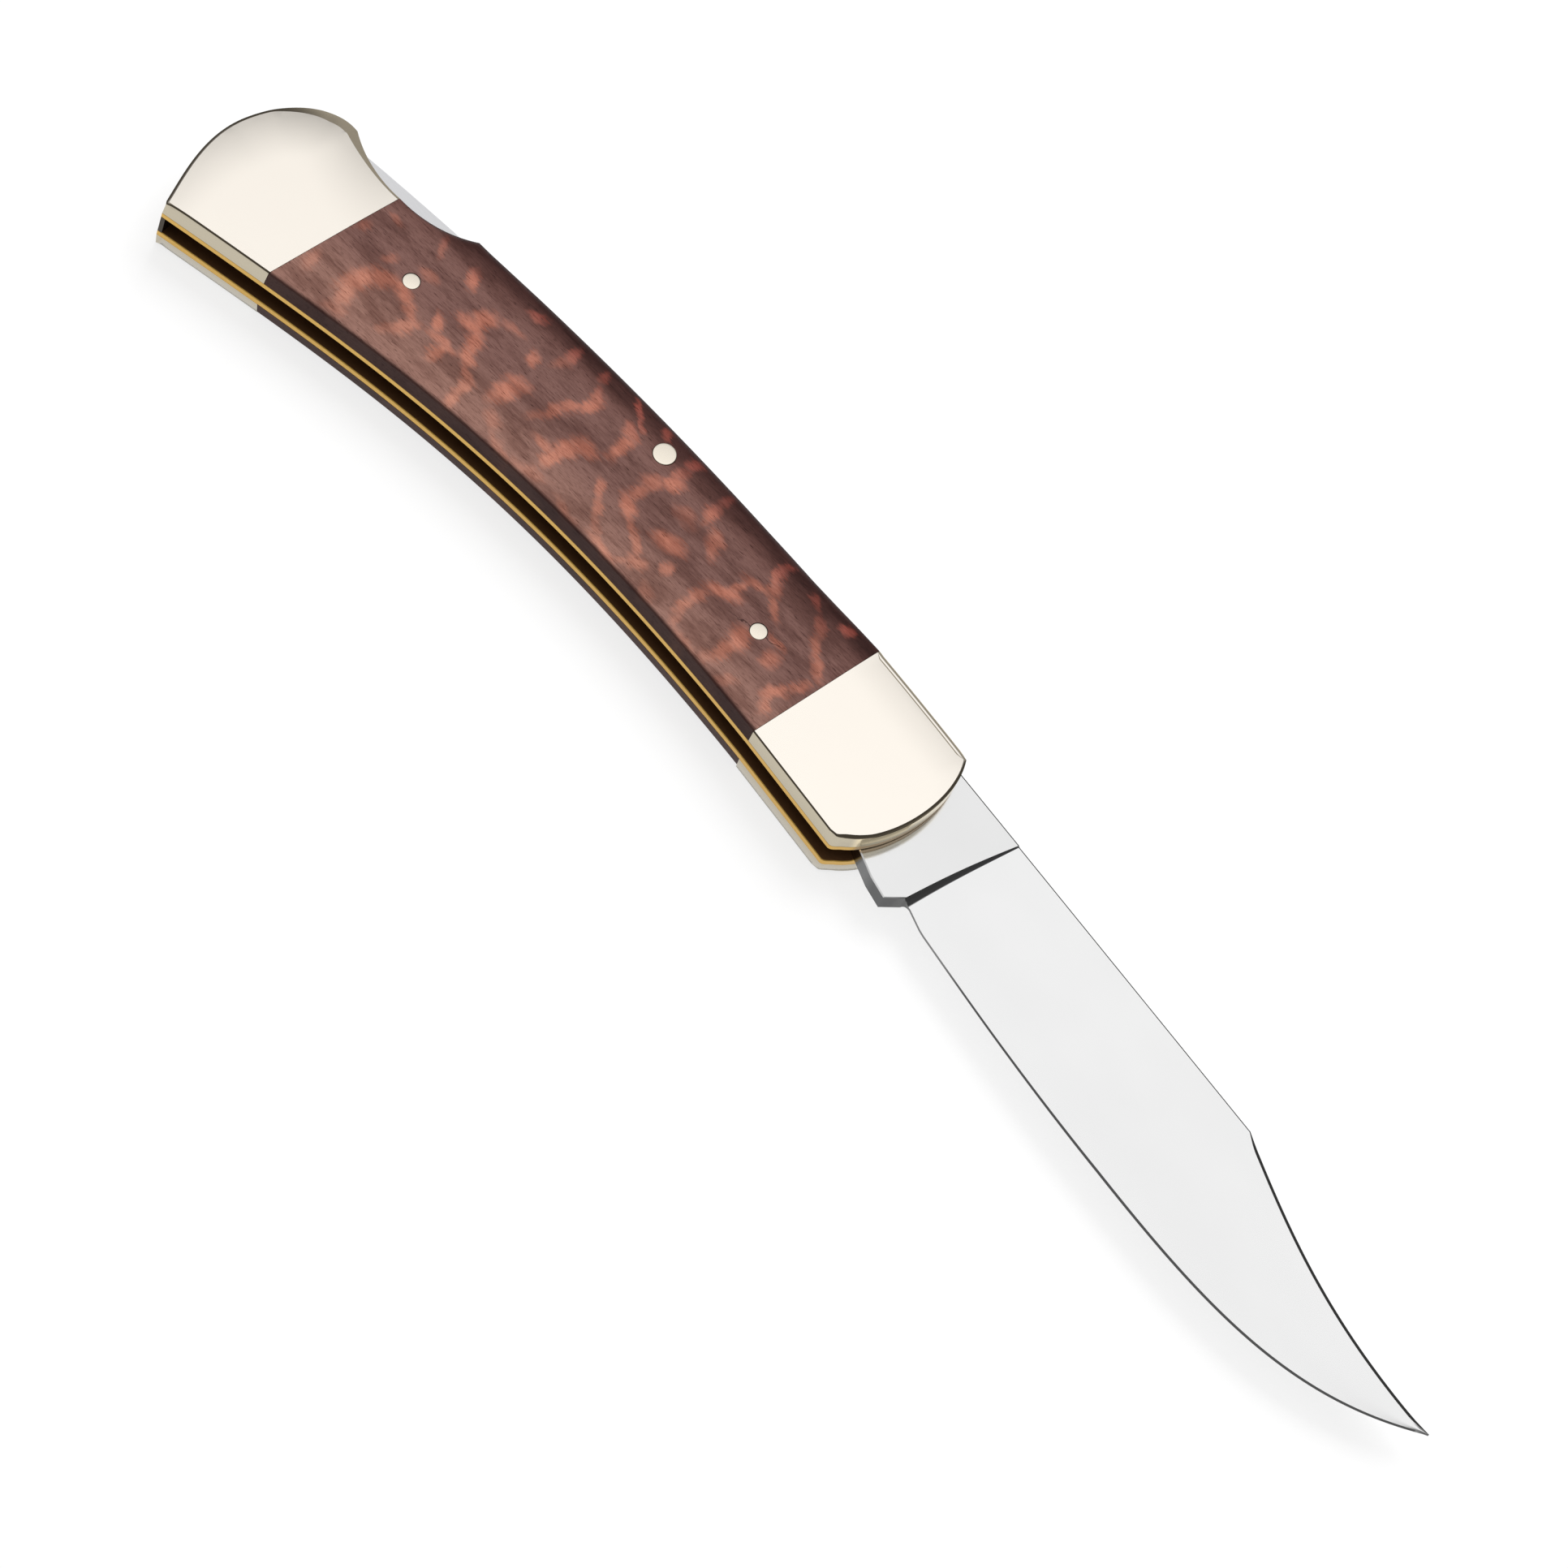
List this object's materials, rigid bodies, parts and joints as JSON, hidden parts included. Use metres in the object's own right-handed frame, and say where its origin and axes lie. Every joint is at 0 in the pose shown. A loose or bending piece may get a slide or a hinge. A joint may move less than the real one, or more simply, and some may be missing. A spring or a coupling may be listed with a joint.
{
  "type": "folding pocket knife",
  "caption": "Folding pocket knife, open: clip-point blade, back lock bar, curved wooden scales between polished bolsters on thin brass liners.",
  "frame": {"origin": "on the blade's pivot axis, at the outer face of the left front bolster, which the knife lies on", "axes": "+X along the open blade to its tip, +Y to the spine, +Z through the handle from its left face to its right face"},
  "size_m": [0.2252, 0.0391, 0.0104],
  "materials": {
    "blade_steel": "fine satin, ground flat to polished",
    "spring_steel": "brushed",
    "nickel_silver": "polished warm white metal",
    "liner_brass": "satin",
    "scale_wood": "oiled, dark red-brown with orange figure"
  },
  "bodies": {
    "handle": {"liner_right": "liner_brass", "liner_left": "liner_brass", "front_bolster_right": "nickel_silver", "front_bolster_left": "nickel_silver", "rear_bolster_right": "nickel_silver", "rear_bolster_left": "nickel_silver", "scale_right": "scale_wood", "scale_left": "scale_wood", "front_rivet_right": "nickel_silver", "front_rivet_left": "nickel_silver", "rear_rivet_right": "nickel_silver", "rear_rivet_left": "nickel_silver", "lock_bar_pin": "nickel_silver", "blade_pivot_pin": "nickel_silver", "spring_pin": "nickel_silver", "butt_pin": "nickel_silver", "butt_spacer": "nickel_silver", "back_spring": "spring_steel"},
    "blade": {"blade": "blade_steel"},
    "lock": {"lock_bar": "blade_steel"}
  },
  "joints": [
    {"name": "blade_fold", "type": "hinge", "parent": "handle", "child": "blade", "pos_m": [0, 0, 0], "axis": [0, 0, 1], "range_deg": [-170, 0]},
    {"name": "lock_rock", "type": "hinge", "parent": "handle", "child": "lock", "pos_m": [-0.0467, 0.00536, 0], "axis": [0, 0, 1], "range_deg": [0, 3.5], "stiffness_Nm_per_rad": 2, "springref_deg": -3.44, "deforming": ["back_spring"]}
  ]
}
